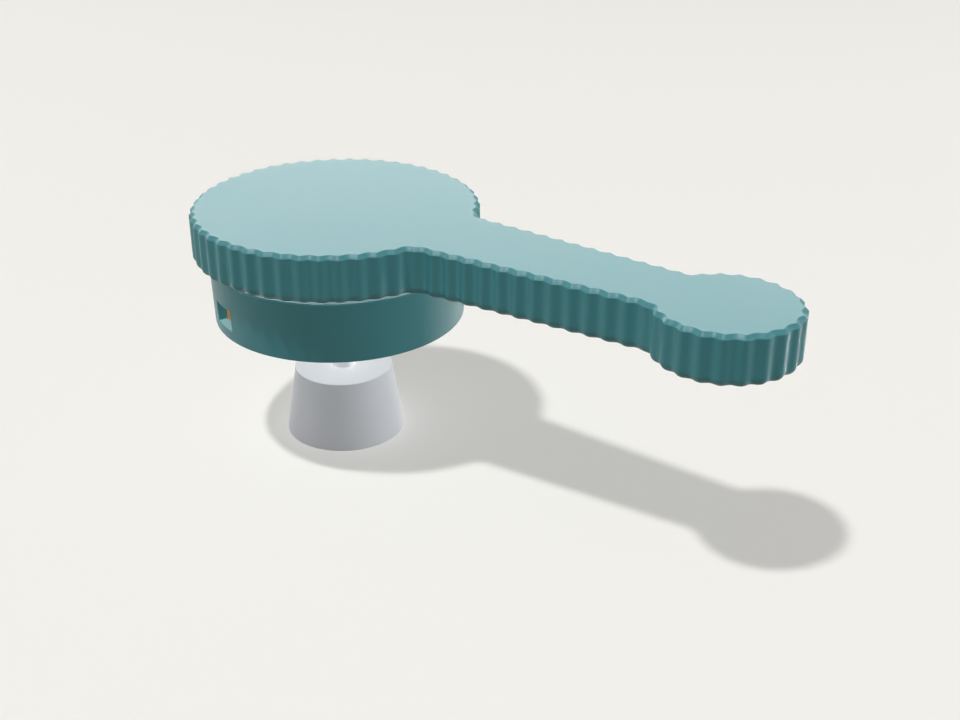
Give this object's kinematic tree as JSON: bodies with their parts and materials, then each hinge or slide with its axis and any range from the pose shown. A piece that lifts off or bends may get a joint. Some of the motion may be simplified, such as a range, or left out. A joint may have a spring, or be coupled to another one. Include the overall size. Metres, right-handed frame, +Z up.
{
  "type": "tap handle",
  "caption": "Lever handle for a tap: a scalloped flat lever over a round collar with an index window, on a tapered stem that pushes onto the valve spindle.",
  "frame": {"origin": "centre of the stem's foot, on the axis of the spindle socket", "axes": "+Z up along the socket's axis, +X along the lever's arm, +Y to the left of the arm seen from above its hub"},
  "size_m": [0.1071, 0.0484, 0.042],
  "materials": {
    "teal_coat": "satin powder coat",
    "index_orange": "moulded, satin",
    "brass": "turned",
    "steel": "turned, plated",
    "stem_grey": "moulded, satin"
  },
  "bodies": {
    "root": {"lever": "teal_coat", "collar": "teal_coat", "index_plug": "index_orange", "hub_insert": "brass", "extension_rod": "steel", "grub_screw": "steel", "collar_screws": "steel", "stem_cone": "stem_grey", "stem_bush": "brass"}
  },
  "joints": []
}
